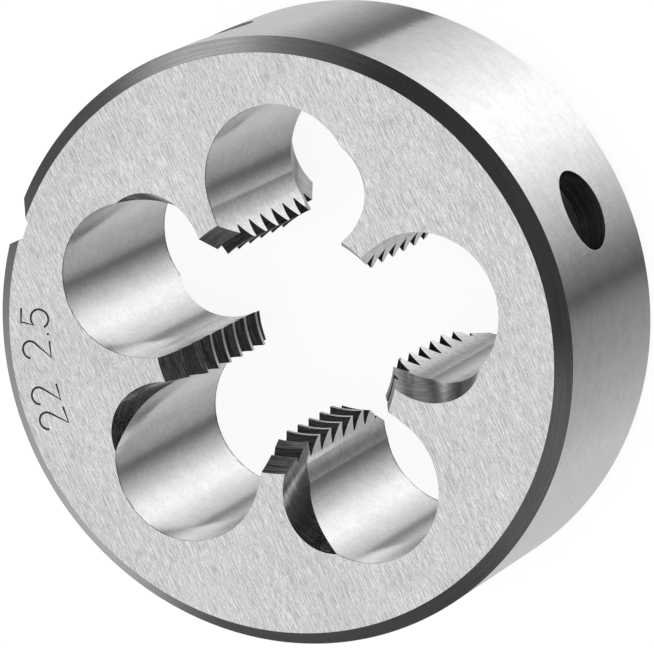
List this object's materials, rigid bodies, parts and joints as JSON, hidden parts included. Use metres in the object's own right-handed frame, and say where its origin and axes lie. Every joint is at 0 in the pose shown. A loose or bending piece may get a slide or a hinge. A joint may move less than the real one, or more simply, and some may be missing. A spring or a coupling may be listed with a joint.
{
  "type": "threading die",
  "caption": "Round threading die: a thick steel disc whose bore has cutting teeth, parted by round chip holes, with a grooved rim and drilled screw seats.",
  "frame": {"origin": "on the thread axis, at the back face", "axes": "+Z along the thread axis, out of the front face; +X through the adjusting groove and the first chip hole"},
  "size_m": [0.0549, 0.055, 0.022],
  "materials": {
    "ground_steel": "ground faces, turned rim, satin"
  },
  "bodies": {
    "root": {"round_die": "ground_steel"}
  },
  "joints": []
}
